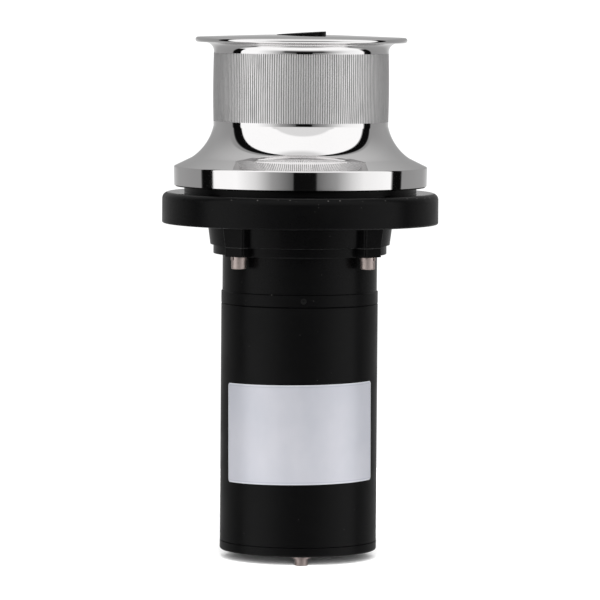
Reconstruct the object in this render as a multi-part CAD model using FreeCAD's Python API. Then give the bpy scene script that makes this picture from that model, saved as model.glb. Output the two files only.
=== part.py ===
import FreeCAD, Part
import math
import os

from FreeCAD import Vector

# Deck capstan. Millimetres, +Z up along the drum's axis, front towards -Y.
# The origin is the centre of the deck face, the underside of the base disc.

AXIS = Vector(0, 0, 1)
ORIGIN = Vector(0, 0, 0)
TOUCH_FIT = 0.03          # radial clearance of a shaft in its bearing or seal
PIN_FIT = 0.05            # radial clearance of a planet gear on its pin

# Drum, above deck
FLANGE_R = 71.5
FLANGE_TOP_Z = 125.6
FLANGE_THICK = 3.5
CROWN_R = 27.0
CROWN_Z = 127.1
WAIST_END_R = 59.0
WAIST_MID_R = 59.4
WAIST_BOTTOM_Z = 66.0
WAIST_TOP_Z = 115.9
NECK_FILLET = 6.0
SKIRT_R = 85.6
SKIRT_BOTTOM_Z = 24.9
SKIRT_TOP_Z = 36.2
SKIRT_CORNER = 3.5
FLARE_LEAN = math.radians(65)           # the flare's slope at the skirt's corner, from upright
FLARE_CONE = 10.8                       # length of the flare's straight part
FLARE_PULL = 4.0                        # length of the flare curve's lower handle
FLARE_LEAD = (2.0, 11.4)                # the flare curve's upper handle, outwards and down
DRUM_WALL = 4.0
HUB_R = 19.0
HUB_BOTTOM_Z = 80.0
HUB_TOP_Z = 112.0
RECESS_R = 15.0

# Cap in the drum's bolt recess: a wedge that rises towards +X
CAP_R = 16.6
CAP_THIN = 0.3
CAP_THICK = 2.5
CAP_PLUG_DEPTH = 5.6

# Deck flange: base disc, bearing pedestal above it, upper gear housing below it
DISC_R = 93.4
DISC_THICK = 21.0
DISC_TOP_EDGE = 4.5
DISC_LOW_EDGE = 1.2
SLINGER_R = (74.5, 78.5)                # the ridge under the skirt that throws water outwards
SLINGER_HEIGHT = 5.0
PEDESTAL_TOP_Z = 77.0
PEDESTAL_TOP_R = 27.5
PEDESTAL_FOOT_R = 36.0
PEDESTAL_FILLET = 7.0
BEARING_STEP_R = 17.5                   # the ledge that carries the upper bearing
CIRCLIP_GROOVE_R = 25.2
CIRCLIP_THICK = 1.6
HOUSING_TOP_R = 62.4
HOUSING_FILLET = 1.2
HOUSING_LOW_R = 60.7
HOUSING_Z = -14.1
CARRIER_ROOM_R = 38.0
CARRIER_ROOM_Z = -2.5
COLUMN_TOP_R = 67.5
COLUMN_LOW_R = 66.2
COLUMN_TOP_HALF = 9.6
COLUMN_LOW_HALF = 8.3
COLUMN_EDGE_R = 1.5
DECK_BOLT_CIRCLE_R = 80.0
DECK_BOLT_HOLE_R = 4.0
DECK_BOLT_DEPTH = 16.0

# Bearings: bore radius, outer radius, width
UPPER_BEARING = (10.0, 21.0, 12.0)
LOWER_BEARING = (12.5, 23.5, 12.0)
FRONT_BEARING = (8.5, 17.5, 10.0)
REAR_BEARING = (7.5, 17.5, 11.0)
UPPER_BEARING_Z = 58.0
LOWER_BEARING_Z = 2.0
FRONT_BEARING_Z = -66.0
REAR_BEARING_Z = -214.0

# Gearbox barrel
GASKET = 0.5
PLATE_TOP_Z = HOUSING_Z - GASKET
PLATE_LOW_Z = -20.4
PLATE_R = 58.6
PLATE_EDGE = 0.5
LUG_R = 66.4
LUG_ROOT_R = 50.0
LUG_HALF = 8.2
BARREL_R = 52.3
BARREL_LOW_Z = -45.3
BARREL_BORE_R = 47.5
SPIGOT_R = 49.5
SPIGOT_BORE_R = 45.0
SPIGOT_Z = -52.0
RING_LOW_Z = -43.5

# M6 screws that hold the barrel, on both diagonals
SCREW_CIRCLE_R = 60.9
SCREW_R = 3.0
SCREW_HEAD_R = 5.0
SCREW_HEAD = 6.0
SCREW_TOP_Z = -2.0
SPRING_WASHER = 2.2

# Planetary gears: both stages have the same teeth, with a ratio of 5 each
MODULE = 1.75
SUN_TEETH = 12
PLANET_TEETH = 18
RING_TEETH = SUN_TEETH + 2 * PLANET_TEETH
PLANETS = 3
PRESSURE_ANGLE = math.radians(20)
ADDENDUM = 1.5
DEDENDUM = 2.0
TOOTH_PLAY = 0.09
PLANET_ORBIT_R = MODULE * (SUN_TEETH + PLANET_TEETH) / 2

OUTPUT_CARRIER = (34.0, -13.2, -4.0)       # radius, low, top
OUTPUT_GEAR_Z = (-26.4, -14.4)
OUTPUT_PIN_R = 5.0
FIRST_CARRIER = (34.0, -34.4, -29.4)
FIRST_GEAR_Z = (-43.0, -35.6)
FIRST_PIN_R = 4.0
PLANET_HUB = 0.7

# Main shaft
SHAFT_R = UPPER_BEARING[0] - TOUCH_FIT
SHAFT_LOW_R = LOWER_BEARING[0] - TOUCH_FIT
SHAFT_TOP_Z = 110.0
KEY_SIDE = 6.0
KEY_Z = (84.0, 108.0)
DRUM_BOLT_R = 5.0
DRUM_BOLT_FLATS = 16.0

# Motor
MOTOR_R = 53.0
FRONT_PLATE_Z = -53.9
REGISTER_Z = -60.0
MOTOR_BORE_R = 47.5
JOINT_EDGE = 0.5                        # chamfer at the joints between the motor's parts
MOTOR_LOW_Z = -215.1
END_CAP_R = 53.1
END_CAP_Z = -221.2
THROUGH_BOLT_CIRCLE_R = 44.6
THROUGH_BOLT_R = 2.5
THROUGH_BOLT_HEAD_R = 4.4
THROUGH_BOLT_HEAD = 5.0
THROUGH_WASHER_R = 6.5
THROUGH_WASHER = 1.2
CORE_R = 37.5
CORE_Z = (-165.0, -80.0)
CORE_SHAFT_R = 12.0
SLOTS = 12
SLOT_R = (18.0, 34.0)
SLOT_WIDTH = 6.0
SLOT_MOUTH = 2.5
MAGNET_INNER_R = 38.5
MAGNET_Z = (-172.0, -73.0)
COMMUTATOR_R = 17.0
COMMUTATOR_Z = (-196.0, -177.0)
BRUSH_PLATE_Z = (-202.0, -199.0)
BRUSH_HOLDER_R = (20.0, 36.5)
BRUSH_SIDE = 8.0
BRUSH_R = 33.0
TERMINAL_Z = -193.0
TERMINAL_ANGLES = (68.0, 112.0)
TERMINAL_R = 3.0
TERMINAL_STUD = (44.0, 74.0)            # inner and outer end
TERMINAL_BUSH_R = 5.5
TERMINAL_SEAT_R = 57.0                  # outer face of the bush, under the first washer
TERMINAL_WASHER = 1.0
TERMINAL_NUT = 5.0
RING_SCREW_R = 2.0


class Outline:
    """A closed outline in the half plane y = 0, drawn as radius and height by lines, arcs and curves."""

    def __init__(self, r, z):
        self.first = Vector(r, 0, z)
        self.last = self.first
        self.edges = []

    def line(self, *points):
        for r, z in points:
            end = Vector(r, 0, z)
            self.edges.append(Part.LineSegment(self.last, end).toShape())
            self.last = end
        return self

    def arc(self, middle, end):
        middle, end = Vector(middle[0], 0, middle[1]), Vector(end[0], 0, end[1])
        self.edges.append(Part.Arc(self.last, middle, end).toShape())
        self.last = end
        return self

    def fillet(self, centre, end):
        """A quarter of a circle, or less, about a centre."""
        centre, end = Vector(centre[0], 0, centre[1]), Vector(end[0], 0, end[1])
        radius = (self.last - centre).Length
        halfway = (self.last - centre) + (end - centre)
        middle = centre + halfway.normalize() * radius
        self.edges.append(Part.Arc(self.last, middle, end).toShape())
        self.last = end
        return self

    def curve(self, *poles):
        curve = Part.BezierCurve()
        curve.setPoles([self.last] + [Vector(r, 0, z) for r, z in poles])
        self.edges.append(curve.toShape())
        self.last = Vector(poles[-1][0], 0, poles[-1][1])
        return self

    def spun(self):
        if (self.last - self.first).Length > 1e-6:
            self.edges.append(Part.LineSegment(self.last, self.first).toShape())
        return Part.Face(Part.Wire(self.edges)).revolve(ORIGIN, AXIS, 360)


def rod(radius, low, top, x=0.0, y=0.0):
    return Part.makeCylinder(radius, top - low, Vector(x, y, low))


def tube(inner, outer, low, top, x=0.0, y=0.0):
    return rod(outer, low, top, x, y).cut(rod(inner, low, top, x, y))


def turned(shape, angle):
    copy = shape.copy()
    copy.rotate(ORIGIN, AXIS, angle)
    return copy


def around(shape, count, first=0.0):
    """Copies of a shape, evenly spaced round the axis."""
    return [turned(shape, first + 360.0 * i / count) for i in range(count)]


def on_circle(radius, count, first=0.0):
    angles = [math.radians(first + 360.0 * i / count) for i in range(count)]
    return [(radius * math.cos(a), radius * math.sin(a)) for a in angles]


def prism(points, low, top):
    corners = [Vector(x, y, low) for x, y in points]
    return Part.Face(Part.makePolygon(corners + corners[:1])).extrude(Vector(0, 0, top - low))


def hexagon(flats, low, top, x=0.0, y=0.0):
    corners = on_circle(flats / math.sqrt(3), 6)
    return prism([(x + dx, y + dy) for dx, dy in corners], low, top)


def radial_box(inner, outer, width, low, top):
    """A box that reaches outwards along +X, centred on it."""
    return Part.makeBox(outer - inner, width, top - low, Vector(inner, -width / 2, low))


def radial_rod(radius, inner, outer, z):
    return Part.makeCylinder(radius, outer - inner, Vector(inner, 0, z), Vector(1, 0, 0))


def c_clip(inner, outer, low, top, gap, x=0.0, y=0.0):
    """A flat ring with a slit towards +X."""
    slit = Part.makeBox(outer + 1, gap, top - low, Vector(x, y - gap / 2, low))
    return tube(inner, outer, low, top, x, y).cut(slit)


def involute(angle):
    return math.tan(angle) - angle


def half_tooth_angle(radius, pitch_r, half_at_pitch):
    """Half the angle that an involute tooth fills at a radius."""
    base_r = pitch_r * math.cos(PRESSURE_ANGLE)
    at_radius = involute(math.acos(base_r / radius)) if radius > base_r else 0.0
    return half_at_pitch + involute(PRESSURE_ANGLE) - at_radius


def toothed_prism(teeth, root_r, tip_r, play, low, top):
    """A spur gear's solid, with a tooth centred on +X. Each flank loses the play."""
    pitch_r = MODULE * teeth / 2
    half_at_pitch = math.pi / (2 * teeth) - play / pitch_r
    steps = [(r, half_tooth_angle(r, pitch_r, half_at_pitch)) for r in (root_r, pitch_r, tip_r)]

    def at(radius, angle):
        return Vector(radius * math.cos(angle), radius * math.sin(angle), low)

    edges = []
    for i in range(teeth):
        centre = 2 * math.pi * i / teeth
        gap_centre = centre + math.pi / teeth
        rising = [at(r, centre - half) for r, half in steps]
        falling = [at(r, centre + half) for r, half in reversed(steps)]
        next_root = at(root_r, centre + 2 * math.pi / teeth - steps[0][1])
        edges.append(Part.Arc(*rising).toShape())
        edges.append(Part.Arc(rising[-1], at(tip_r, centre), falling[0]).toShape())
        edges.append(Part.Arc(*falling).toShape())
        edges.append(Part.Arc(falling[-1], at(root_r, gap_centre), next_root).toShape())
    return Part.Face(Part.Wire(edges)).extrude(Vector(0, 0, top - low))


def sun_teeth(low, top):
    pitch_r = MODULE * SUN_TEETH / 2
    return toothed_prism(SUN_TEETH, pitch_r - DEDENDUM, pitch_r + ADDENDUM, TOOTH_PLAY, low, top)


def planet_gear(span, hub_r, pin_r):
    """A planet at +X: a gap faces the sun's tooth, and another faces the ring's tooth."""
    pitch_r = MODULE * PLANET_TEETH / 2
    low, top = span
    gear = toothed_prism(PLANET_TEETH, pitch_r - DEDENDUM, pitch_r + ADDENDUM, TOOTH_PLAY, low, top)
    gear = turned(gear, 180.0 / PLANET_TEETH)
    gear = gear.fuse(rod(hub_r, low - PLANET_HUB, top + PLANET_HUB))
    gear = gear.cut(rod(pin_r + PIN_FIT, low - PLANET_HUB, top + PLANET_HUB))
    gear.translate(Vector(PLANET_ORBIT_R, 0, 0))
    return gear


def drum():
    """Hollow drum: flange, waist, flare and skirt outside, a keyed hub inside."""
    rim_low_z = FLANGE_TOP_Z - FLANGE_THICK
    rim_r = FLANGE_THICK / 2
    corner_r = SKIRT_R - SKIRT_CORNER                       # radius at which the corner's arc is centred
    upward = (math.sin(FLARE_LEAN), math.cos(FLARE_LEAN))   # inwards and up, along the flare's cone
    lead_out, lead_down = FLARE_LEAD

    def up_cone(start, length):
        return (start[0] - upward[0] * length, start[1] + upward[1] * length)

    corner_mid = (
        corner_r + SKIRT_CORNER * math.cos(FLARE_LEAN / 2),
        SKIRT_TOP_Z + SKIRT_CORNER * math.sin(FLARE_LEAN / 2),
    )
    corner_top = (
        corner_r + SKIRT_CORNER * math.cos(FLARE_LEAN),
        SKIRT_TOP_Z + SKIRT_CORNER * math.sin(FLARE_LEAN),
    )
    cone_top = up_cone(corner_top, FLARE_CONE)
    inner_r = WAIST_END_R - DRUM_WALL
    inner_skirt_r = SKIRT_R - DRUM_WALL
    inner_corner = (inner_skirt_r - 2.0, SKIRT_TOP_Z)
    inner_cone = up_cone(inner_corner, FLARE_CONE)
    web_z = rim_low_z - 1.5
    fillet_r = 6.0
    outline = Outline(inner_skirt_r, SKIRT_BOTTOM_Z)
    outline.line((SKIRT_R - 1.2, SKIRT_BOTTOM_Z), (SKIRT_R - 0.3, SKIRT_BOTTOM_Z + 0.9))
    outline.line((SKIRT_R, SKIRT_TOP_Z)).arc(corner_mid, corner_top).line(cone_top)
    outline.curve(
        up_cone(cone_top, FLARE_PULL),
        (WAIST_END_R + lead_out, WAIST_BOTTOM_Z - lead_down),
        (WAIST_END_R, WAIST_BOTTOM_Z),
    )
    waist_mid_z = (WAIST_BOTTOM_Z + WAIST_TOP_Z) / 2
    neck_r = WAIST_END_R + NECK_FILLET
    outline.arc((WAIST_MID_R, waist_mid_z), (WAIST_END_R, WAIST_TOP_Z))
    outline.fillet((neck_r, WAIST_TOP_Z), (neck_r, WAIST_TOP_Z + NECK_FILLET))
    outline.line((FLANGE_R - rim_r, rim_low_z))
    outline.arc((FLANGE_R, rim_low_z + rim_r), (FLANGE_R - rim_r, FLANGE_TOP_Z))
    outline.line((CROWN_R, CROWN_Z), (RECESS_R, CROWN_Z), (RECESS_R, HUB_TOP_Z), (SHAFT_R, HUB_TOP_Z))
    outline.line((SHAFT_R, HUB_BOTTOM_Z), (HUB_R - 1, HUB_BOTTOM_Z), (HUB_R, HUB_BOTTOM_Z + 1))
    outline.line((HUB_R, web_z - fillet_r))
    outline.fillet((HUB_R + fillet_r, web_z - fillet_r), (HUB_R + fillet_r, web_z))
    outline.line((inner_r - fillet_r, web_z))
    outline.fillet((inner_r - fillet_r, web_z - fillet_r), (inner_r, web_z - fillet_r))
    outline.line((inner_r, WAIST_BOTTOM_Z - 2))
    outline.curve(
        (inner_r + lead_out, WAIST_BOTTOM_Z - lead_down - 2),
        up_cone(inner_cone, FLARE_PULL),
        inner_cone,
    )
    outline.line(inner_corner)
    outline.line((inner_skirt_r, SKIRT_TOP_Z - 3))
    return outline.spun().cut(drum_key())


def drum_key():
    """A square key, half in the shaft and half in the hub."""
    return radial_box(SHAFT_R - KEY_SIDE / 2, SHAFT_R + KEY_SIDE / 2, KEY_SIDE, *KEY_Z)


def drum_cap():
    """Plug with a wedge-shaped head, hollow from below."""
    plug_r = RECESS_R - 0.08
    wall = 2.0
    plug = tube(plug_r - wall, plug_r, CROWN_Z - CAP_PLUG_DEPTH, CROWN_Z)
    side = [(-CAP_R, 0), (CAP_R, 0), (CAP_R, CAP_THICK), (-CAP_R, CAP_THIN)]
    corners = [Vector(x, -CAP_R, CROWN_Z + height) for x, height in side]
    wedge = Part.Face(Part.makePolygon(corners + corners[:1])).extrude(Vector(0, 2 * CAP_R, 0))
    head = wedge.common(rod(CAP_R, CROWN_Z, CROWN_Z + CAP_THICK))
    return head.fuse(plug)


def drum_bolt():
    head = hexagon(DRUM_BOLT_FLATS, HUB_TOP_Z + 2.0, HUB_TOP_Z + 8.4)
    return head.fuse(rod(DRUM_BOLT_R, HUB_TOP_Z - 20, HUB_TOP_Z + 2.0))


def drum_washer():
    return tube(DRUM_BOLT_R, RECESS_R - 1, HUB_TOP_Z, HUB_TOP_Z + 2.0)


def main_shaft():
    """Stepped shaft with the output planet carrier at its foot."""
    carrier_r, low, top = OUTPUT_CARRIER
    step_z = LOWER_BEARING_Z + LOWER_BEARING[2] + 0.05
    shoulder_r = 15.5
    outline = Outline(0, low)
    outline.line((carrier_r - 1, low), (carrier_r, low + 1), (carrier_r, top - 1), (carrier_r - 1, top))
    shoulder_z = LOWER_BEARING_Z - 0.05
    outline.line((shoulder_r, top), (shoulder_r, shoulder_z), (SHAFT_LOW_R, shoulder_z))
    outline.line((SHAFT_LOW_R, step_z), (SHAFT_R, step_z))
    outline.line((SHAFT_R, SHAFT_TOP_Z - 1), (SHAFT_R - 1, SHAFT_TOP_Z), (0, SHAFT_TOP_Z))
    shaft = outline.spun().cut(drum_key())
    shaft = shaft.cut(rod(DRUM_BOLT_R, HUB_TOP_Z - 20, SHAFT_TOP_Z))
    for x, y in on_circle(PLANET_ORBIT_R, PLANETS):
        shaft = shaft.cut(rod(OUTPUT_PIN_R, low, top, x, y))
    return shaft


def planet_pins(carrier, span, radius):
    """Pins from the carrier's top to just past the clips, with a groove for each clip."""
    end = span[0] - PLANET_HUB - 1.4
    clip_low, clip_top = clip_span(span)
    pins = []
    for x, y in on_circle(PLANET_ORBIT_R, PLANETS):
        pin = rod(radius, end, carrier[2], x, y)
        pins.append(pin.cut(tube(radius - 0.6, radius, clip_low, clip_top, x, y)))
    return Part.makeCompound(pins)


def clip_span(span):
    top = span[0] - PLANET_HUB - 0.1
    return top - 0.7, top


def pin_clips(span, radius):
    low, top = clip_span(span)
    clips = [c_clip(radius - 0.6, radius + 2, low, top, 3.0, PLANET_ORBIT_R)]
    return Part.makeCompound([turned(clips[0], 360.0 * i / PLANETS) for i in range(PLANETS)])


def first_carrier():
    """Carrier disc with the output sun gear on a neck above it."""
    radius, low, top = FIRST_CARRIER
    neck_r = MODULE * SUN_TEETH / 2 - DEDENDUM - 0.2
    outline = Outline(0, low)
    outline.line((radius - 1, low), (radius, low + 1), (radius, top - 1), (radius - 1, top))
    outline.line((neck_r, top), (neck_r, OUTPUT_GEAR_Z[0]), (0, OUTPUT_GEAR_Z[0]))
    carrier = outline.spun().fuse(sun_teeth(OUTPUT_GEAR_Z[0], OUTPUT_GEAR_Z[1]))
    for x, y in on_circle(PLANET_ORBIT_R, PLANETS):
        carrier = carrier.cut(rod(FIRST_PIN_R, low, top, x, y))
    return carrier


def ring_gear():
    """One steel ring, toothed inside over the length of both stages."""
    pitch_r = MODULE * RING_TEETH / 2
    low, top = RING_LOW_Z, PLATE_TOP_Z
    spaces = toothed_prism(RING_TEETH, pitch_r - ADDENDUM, pitch_r + DEDENDUM, -TOOTH_PLAY, low, top)
    return rod(BARREL_BORE_R, low, top).cut(turned(spaces, 180.0 / RING_TEETH))


def rectangle(inner, outer, half, z):
    corners = [Vector(x, y, z) for x, y in ((inner, -half), (outer, -half), (outer, half), (inner, half))]
    return Part.makePolygon(corners + corners[:1])


def outer_uprights(block, height):
    """The two edges of a block at +X that stand up at its outer face."""
    middle_x = (block.BoundBox.XMin + block.BoundBox.XMax) / 2
    return [e for e in block.Edges if e.BoundBox.XMin > middle_x and e.BoundBox.ZLength > height / 2]


def column():
    """One square column of the upper housing, tapered downwards on three sides, at +X."""
    inner = HOUSING_LOW_R - 8
    top = rectangle(inner, COLUMN_TOP_R, COLUMN_TOP_HALF, 0)
    low = rectangle(inner, COLUMN_LOW_R, COLUMN_LOW_HALF, HOUSING_Z)
    block = Part.makeLoft([top, low], True, True)
    return block.makeFillet(COLUMN_EDGE_R, outer_uprights(block, -HOUSING_Z))


def deck_flange():
    """Base disc, bearing pedestal and upper gear housing in one casting."""
    upper_low, upper_top = UPPER_BEARING_Z, PEDESTAL_TOP_Z
    lower_low, lower_top = LOWER_BEARING_Z, LOWER_BEARING_Z + LOWER_BEARING[2]
    groove_z = lower_low - CIRCLIP_THICK
    foot_r = HOUSING_TOP_R + HOUSING_FILLET
    low_edge_r = DISC_R - DISC_LOW_EDGE
    top_edge_r = DISC_R - DISC_TOP_EDGE
    top_edge_z = DISC_THICK - DISC_TOP_EDGE
    slinger_in, slinger_out = SLINGER_R
    slinger_z = DISC_THICK + SLINGER_HEIGHT
    pedestal_r = PEDESTAL_FOOT_R + PEDESTAL_FILLET
    pedestal_z = DISC_THICK + PEDESTAL_FILLET
    outline = Outline(CARRIER_ROOM_R, HOUSING_Z)
    outline.line((HOUSING_LOW_R, HOUSING_Z), (HOUSING_TOP_R, -HOUSING_FILLET))
    outline.fillet((foot_r, -HOUSING_FILLET), (foot_r, 0))
    outline.line((low_edge_r, 0)).fillet((low_edge_r, DISC_LOW_EDGE), (DISC_R, DISC_LOW_EDGE))
    outline.line((DISC_R, top_edge_z)).fillet((top_edge_r, top_edge_z), (top_edge_r, DISC_THICK))
    outline.line((slinger_out, DISC_THICK), (slinger_out, slinger_z))
    outline.line((slinger_in, slinger_z), (slinger_in, DISC_THICK))
    outline.line((pedestal_r, DISC_THICK)).fillet((pedestal_r, pedestal_z), (PEDESTAL_FOOT_R, pedestal_z))
    outline.line((PEDESTAL_TOP_R, upper_low), (PEDESTAL_TOP_R, upper_top - 1))
    outline.line((PEDESTAL_TOP_R - 1, upper_top), (UPPER_BEARING[1], upper_top))
    outline.line((UPPER_BEARING[1], upper_low), (BEARING_STEP_R, upper_low))
    outline.line((BEARING_STEP_R, lower_top), (LOWER_BEARING[1], lower_top), (LOWER_BEARING[1], lower_low))
    outline.line((CIRCLIP_GROOVE_R, lower_low), (CIRCLIP_GROOVE_R, groove_z), (LOWER_BEARING[1], groove_z))
    outline.line((LOWER_BEARING[1], CARRIER_ROOM_Z), (CARRIER_ROOM_R, CARRIER_ROOM_Z))
    casting = outline.spun()
    for piece in around(column(), 4, 45.0):
        casting = casting.fuse(piece)
    for x, y in on_circle(SCREW_CIRCLE_R, 4, 45.0):
        casting = casting.cut(rod(SCREW_R, HOUSING_Z, SCREW_TOP_Z, x, y))
    for x, y in on_circle(DECK_BOLT_CIRCLE_R, 4):
        casting = casting.cut(rod(DECK_BOLT_HOLE_R, 0, DECK_BOLT_DEPTH, x, y))
    return casting


def bearing(size, low):
    """Sealed ball bearing: two rings, with recessed seals between them."""
    bore_r, outer_r, width = size
    inner_ring_r = bore_r + (outer_r - bore_r) * 0.27
    outer_ring_r = outer_r - (outer_r - bore_r) * 0.27
    top = low + width
    rings = [tube(bore_r, inner_ring_r, low, top), tube(outer_ring_r, outer_r, low, top)]
    rings.append(tube(inner_ring_r, outer_ring_r, low + 0.6, top - 0.6))
    return Part.makeCompound(rings)


def bearing_spacer():
    low = LOWER_BEARING_Z + LOWER_BEARING[2] + 0.05
    return tube(SHAFT_R, 14.0, low, UPPER_BEARING_Z - 0.05)


def bearing_circlip():
    return c_clip(20.5, CIRCLIP_GROOVE_R, LOWER_BEARING_Z - CIRCLIP_THICK, LOWER_BEARING_Z, 9.0)


def lip_seal(bore_r, outer_r, low, top):
    """Steel-cased seal with a lip that narrows to the shaft."""
    middle = (low + top) / 2
    outline = Outline(outer_r, low)
    outline.line((outer_r, top), (bore_r + 1.5, top), (bore_r, top - 1), (bore_r, middle))
    outline.line((bore_r + 2.5, middle), (outer_r - 2, middle), (outer_r - 2, low))
    return outline.spun()


def shaft_seal():
    return lip_seal(UPPER_BEARING[0], UPPER_BEARING[1], UPPER_BEARING_Z + UPPER_BEARING[2], PEDESTAL_TOP_Z)


def motor_oil_seal():
    return lip_seal(FRONT_BEARING[0], 15.0, FRONT_BEARING_Z + FRONT_BEARING[2], SPIGOT_Z)


def screw_holes(radius, low, top):
    return [rod(radius, low, top, x, y) for x, y in on_circle(SCREW_CIRCLE_R, 4, 45.0)]


def lug(low, top, shrink=0.0):
    """A lug of the gearbox flange at +X, rounded at its outer edges."""
    block = radial_box(LUG_ROOT_R, LUG_R - shrink, 2 * (LUG_HALF - shrink), low, top)
    return block.makeFillet(COLUMN_EDGE_R, outer_uprights(block, top - low))


def housing_gasket():
    gasket = rod(PLATE_R - 0.3, PLATE_TOP_Z, HOUSING_Z)
    for piece in around(lug(PLATE_TOP_Z, HOUSING_Z, 0.3), 4, 45.0):
        gasket = gasket.fuse(piece)
    gasket = gasket.cut(rod(BARREL_BORE_R, PLATE_TOP_Z, HOUSING_Z))
    for hole in screw_holes(SCREW_R + 0.3, PLATE_TOP_Z, HOUSING_Z):
        gasket = gasket.cut(hole)
    return gasket


def gearbox_barrel():
    """Round barrel under a round flange with four lugs, and a spigot for the motor below."""
    edge_r = PLATE_R - PLATE_EDGE
    edge_z = PLATE_LOW_Z + PLATE_EDGE
    foot_r = BARREL_R + 1
    outline = Outline(BARREL_BORE_R, PLATE_TOP_Z)
    outline.line((PLATE_R, PLATE_TOP_Z), (PLATE_R, edge_z)).fillet((edge_r, edge_z), (edge_r, PLATE_LOW_Z))
    outline.line((foot_r, PLATE_LOW_Z)).fillet((foot_r, PLATE_LOW_Z - 1), (BARREL_R, PLATE_LOW_Z - 1))
    outline.line((BARREL_R, BARREL_LOW_Z), (SPIGOT_R, BARREL_LOW_Z), (SPIGOT_R, SPIGOT_Z))
    outline.line((SPIGOT_BORE_R, SPIGOT_Z), (SPIGOT_BORE_R, RING_LOW_Z), (BARREL_BORE_R, RING_LOW_Z))
    barrel = outline.spun()
    for piece in around(lug(PLATE_LOW_Z, PLATE_TOP_Z), 4, 45.0):
        barrel = barrel.fuse(piece)
    for hole in screw_holes(SCREW_R + 0.3, PLATE_LOW_Z, PLATE_TOP_Z):
        barrel = barrel.cut(hole)
    return barrel


def socket_screw(shank_r, head_r, head, low, top, flats):
    """A cap screw that stands on its head, with the hexagon socket in its lower end."""
    shoulder = low + head
    edge = 0.5
    outline = Outline(0, low)
    outline.line((head_r - edge, low), (head_r, low + edge), (head_r, shoulder), (shank_r, shoulder))
    outline.line((shank_r, top - edge), (shank_r - edge, top), (0, top))
    return outline.spun().cut(hexagon(flats, low, low + head / 2))


def at_places(shape, places):
    """Copies of a shape, one at each place, as one group of solids."""
    copies = [shape.translated(Vector(x, y, 0)) for x, y in places]
    return Part.makeCompound(copies)


def housing_screws():
    low = PLATE_LOW_Z - SPRING_WASHER - SCREW_HEAD
    screw = socket_screw(SCREW_R, SCREW_HEAD_R, SCREW_HEAD, low, SCREW_TOP_Z, 5.0)
    return at_places(screw, on_circle(SCREW_CIRCLE_R, 4, 45.0))


def spring_washers():
    low = PLATE_LOW_Z - SPRING_WASHER
    washer = c_clip(SCREW_R + 0.1, SCREW_HEAD_R + 0.4, low, PLATE_LOW_Z, 1.0, SCREW_CIRCLE_R)
    return Part.makeCompound(around(washer, 4, 45.0))


def ring_screw_pockets():
    """Radial holes through the front plate's rim, at the front, back and sides."""
    z = (BARREL_LOW_Z + FRONT_PLATE_Z) / 2
    return around(radial_rod(RING_SCREW_R, SPIGOT_R - 2, MOTOR_R + 1, z), 4)


def motor_front_plate():
    """Drive end plate: a rim round the gearbox spigot, a register in the motor and a bearing boss."""
    boss_r = 22.0
    seal_r = 15.0
    seal_low_z = FRONT_BEARING_Z + FRONT_BEARING[2]
    bearing_r = FRONT_BEARING[1]
    edge = JOINT_EDGE
    outline = Outline(SPIGOT_R, BARREL_LOW_Z)
    outline.line((MOTOR_R - edge, BARREL_LOW_Z), (MOTOR_R, BARREL_LOW_Z - edge))
    outline.line((MOTOR_R, FRONT_PLATE_Z + edge), (MOTOR_R - edge, FRONT_PLATE_Z))
    outline.line((MOTOR_BORE_R, FRONT_PLATE_Z), (MOTOR_BORE_R, REGISTER_Z), (boss_r, REGISTER_Z))
    outline.line((boss_r, FRONT_BEARING_Z), (bearing_r, FRONT_BEARING_Z), (bearing_r, seal_low_z))
    outline.line((seal_r, seal_low_z), (seal_r, SPIGOT_Z), (SPIGOT_R, SPIGOT_Z))
    plate = outline.spun()
    for pocket in ring_screw_pockets():
        plate = plate.cut(pocket)
    for x, y in on_circle(THROUGH_BOLT_CIRCLE_R, 2, 90.0):
        plate = plate.cut(rod(THROUGH_BOLT_R, REGISTER_Z, SPIGOT_Z - 1, x, y))
    return plate


def ring_screws():
    z = (BARREL_LOW_Z + FRONT_PLATE_Z) / 2
    socket = radial_rod(RING_SCREW_R / 2, MOTOR_R - 2, MOTOR_R, z)
    screw = radial_rod(RING_SCREW_R, SPIGOT_R, MOTOR_R - 0.5, z).cut(socket)
    return Part.makeCompound(around(screw, 4))


def motor_barrel():
    """Steel tube of the motor, with two holes at the back for the terminals."""
    barrel = Outline(MOTOR_BORE_R, MOTOR_LOW_Z)
    edge = JOINT_EDGE
    barrel.line((MOTOR_R - edge, MOTOR_LOW_Z), (MOTOR_R, MOTOR_LOW_Z + edge))
    barrel.line((MOTOR_R, FRONT_PLATE_Z - edge), (MOTOR_R - edge, FRONT_PLATE_Z))
    barrel.line((MOTOR_BORE_R, FRONT_PLATE_Z))
    shell = barrel.spun()
    for angle in TERMINAL_ANGLES:
        shell = shell.cut(turned(radial_rod(TERMINAL_BUSH_R, *TERMINAL_STUD, TERMINAL_Z), angle))
    return shell


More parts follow.
